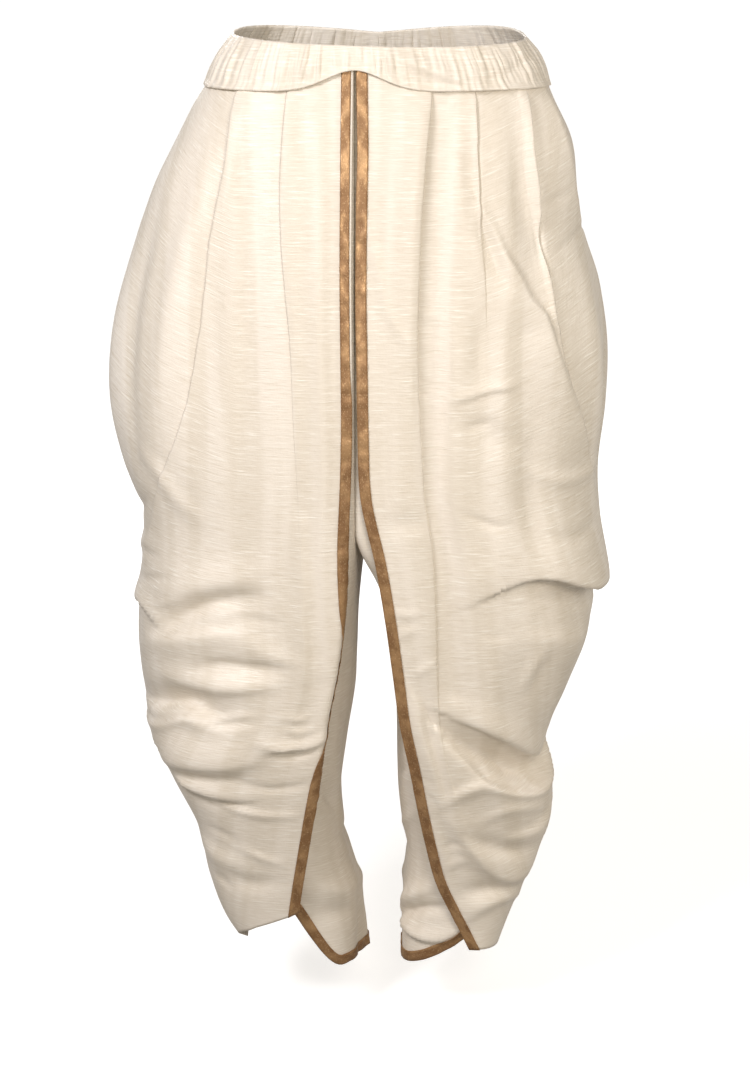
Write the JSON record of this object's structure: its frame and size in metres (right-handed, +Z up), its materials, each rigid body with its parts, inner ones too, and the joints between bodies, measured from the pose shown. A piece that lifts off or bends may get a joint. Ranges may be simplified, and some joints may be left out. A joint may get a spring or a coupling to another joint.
{
  "type": "dhoti pants",
  "caption": "Worn ready-made dhoti in ivory dupion: elastic waistband, knife-pleated drapes with gold tissue borders falling in cowls over narrow under legs.",
  "frame": {"origin": "centre of the waist opening, level with the waistband's top edge", "axes": "+Z up, -Y to the front of the garment, +X to the wearer's left"},
  "size_m": [0.5354, 0.3413, 1.0294],
  "materials": {
    "ivory": "ivory art-silk dupion with fine slubs and a satin sheen",
    "gold": "crumpled bronze-gold tissue ribbon"
  },
  "bodies": {
    "root": {"waistband": "ivory", "front_drape_right": "ivory", "front_drape_left": "ivory", "back_panel_right": "ivory", "back_panel_left": "ivory", "front_border_right": "gold", "front_border_left": "gold", "hem_border_right": "gold", "hem_border_left": "gold"}
  },
  "joints": []
}
